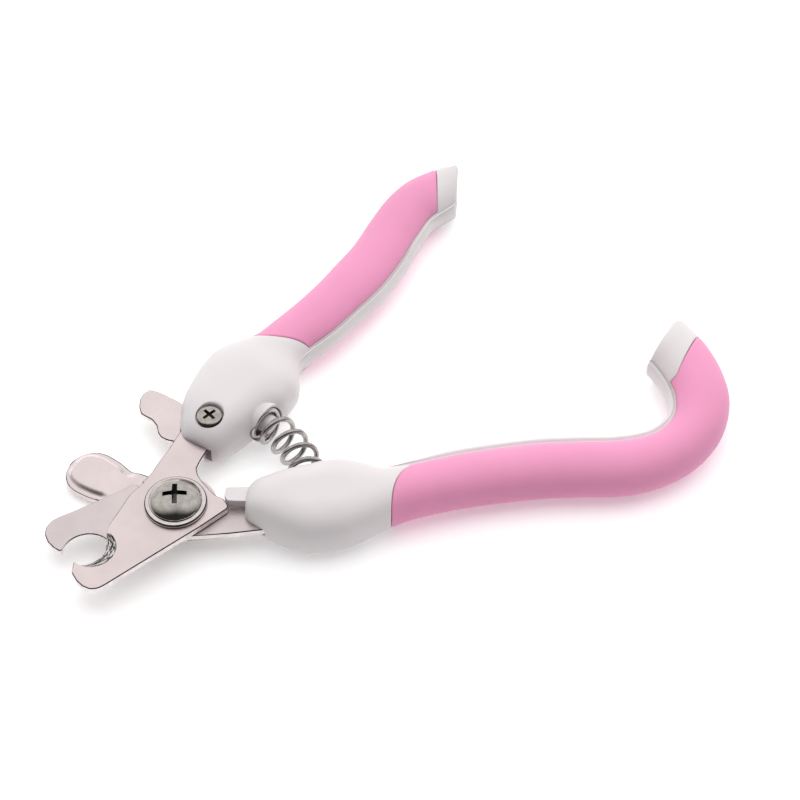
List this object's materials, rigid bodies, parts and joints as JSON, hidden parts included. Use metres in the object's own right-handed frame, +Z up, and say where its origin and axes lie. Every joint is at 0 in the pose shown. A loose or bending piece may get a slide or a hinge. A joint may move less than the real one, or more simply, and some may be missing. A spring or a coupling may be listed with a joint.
{
  "type": "scissor nail clipper",
  "caption": "Small pet nail clipper: two notched crossing blades on one pivot screw, spring-opened soft handles, a closing lock lever and a swinging nail stop",
  "frame": {"origin": "centre of the footprint of the open clipper, on the table it lies on", "axes": "+X from the cutting end towards the hooked handle end, +Y towards the straight handle, +Z up out of the table"},
  "size_m": [0.1356, 0.1142, 0.0119],
  "materials": {
    "blade_steel": "fine satin grind, bright ground cutting bevels",
    "stamped_steel": "tumbled satin",
    "bright_screw": "polished nickel plate",
    "dull_steel": "plain zinc plate",
    "spring_wire": "drawn spring wire",
    "white_plastic": "moulded satin white plastic",
    "pink_grip": "smooth soft-touch overmould, satin"
  },
  "bodies": {
    "lower_half": {"lower_blade": "blade_steel", "lower_handle_core": "white_plastic", "lower_grip": "pink_grip", "pivot_screw": "bright_screw", "pivot_washer": "blade_steel", "pivot_nut": "dull_steel", "guard_spring_washer": "dull_steel", "return_spring": "spring_wire"},
    "upper_half": {"upper_blade": "blade_steel", "upper_handle_core": "white_plastic", "upper_grip": "pink_grip", "lock_screw": "bright_screw", "lock_spring_washer": "dull_steel", "lock_nut": "dull_steel"},
    "guard": {"guard_plate": "stamped_steel"},
    "lock": {"lock_lever": "stamped_steel"}
  },
  "joints": [
    {"name": "blade_pivot", "type": "hinge", "parent": "lower_half", "child": "upper_half", "pos_m": [-0.0428, -0.03697, 0.006], "axis": [0, 0, 1], "range_deg": [-26, 0], "stiffness_Nm_per_rad": 0.37, "springref_deg": 6.88, "deforming": ["return_spring"]},
    {"name": "guard_swing", "type": "hinge", "parent": "lower_half", "child": "guard", "pos_m": [-0.0428, -0.03697, 0.0038], "axis": [0, 0, 1], "range_deg": [0, 66]},
    {"name": "lock_turn", "type": "hinge", "parent": "upper_half", "child": "lock", "pos_m": [-0.0372, -0.01787, 0.0052], "axis": [0, 0, 1], "range_deg": [0, 5.5]}
  ]
}
